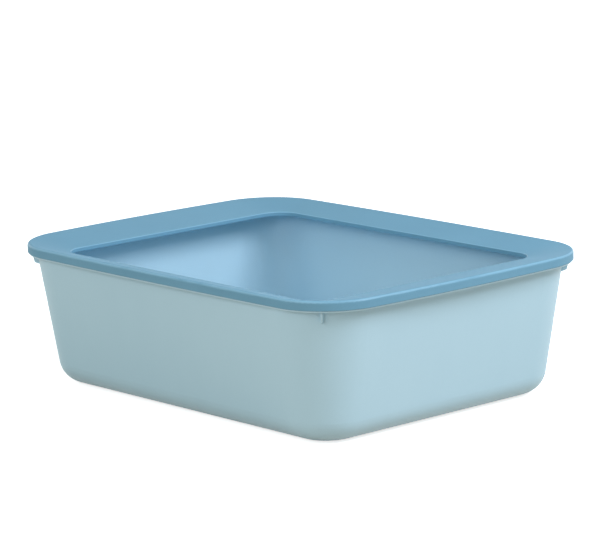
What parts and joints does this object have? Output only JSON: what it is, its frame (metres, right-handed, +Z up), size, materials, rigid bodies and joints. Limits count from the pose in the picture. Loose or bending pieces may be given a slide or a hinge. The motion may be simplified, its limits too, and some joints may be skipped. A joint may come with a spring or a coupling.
{
  "type": "open cat litter tray",
  "caption": "Open cat litter tray: deep tapered tub with an out-turned lip, under a press-on splash rim with a sloped inner flange; anti-slip pads under the base.",
  "frame": {"origin": "on the floor under the middle of the tray", "axes": "+X along the tray's length, +Y along its width, +Z up"},
  "size_m": [0.507, 0.385, 0.15],
  "materials": {
    "tub_plastic": "satin light blue polypropylene",
    "rim_plastic": "satin mid blue polypropylene",
    "pad_rubber": "soft grey elastomer"
  },
  "bodies": {
    "tub": {"tub": "tub_plastic", "foot_pad_front_left": "pad_rubber", "foot_pad_front_right": "pad_rubber", "foot_pad_back_left": "pad_rubber", "foot_pad_back_right": "pad_rubber"},
    "rim": {"rim": "rim_plastic"}
  },
  "joints": [
    {"name": "rim_lift", "type": "slide", "parent": "tub", "child": "rim", "axis": [0, 0, 1], "range_m": [0, 0.1]}
  ]
}
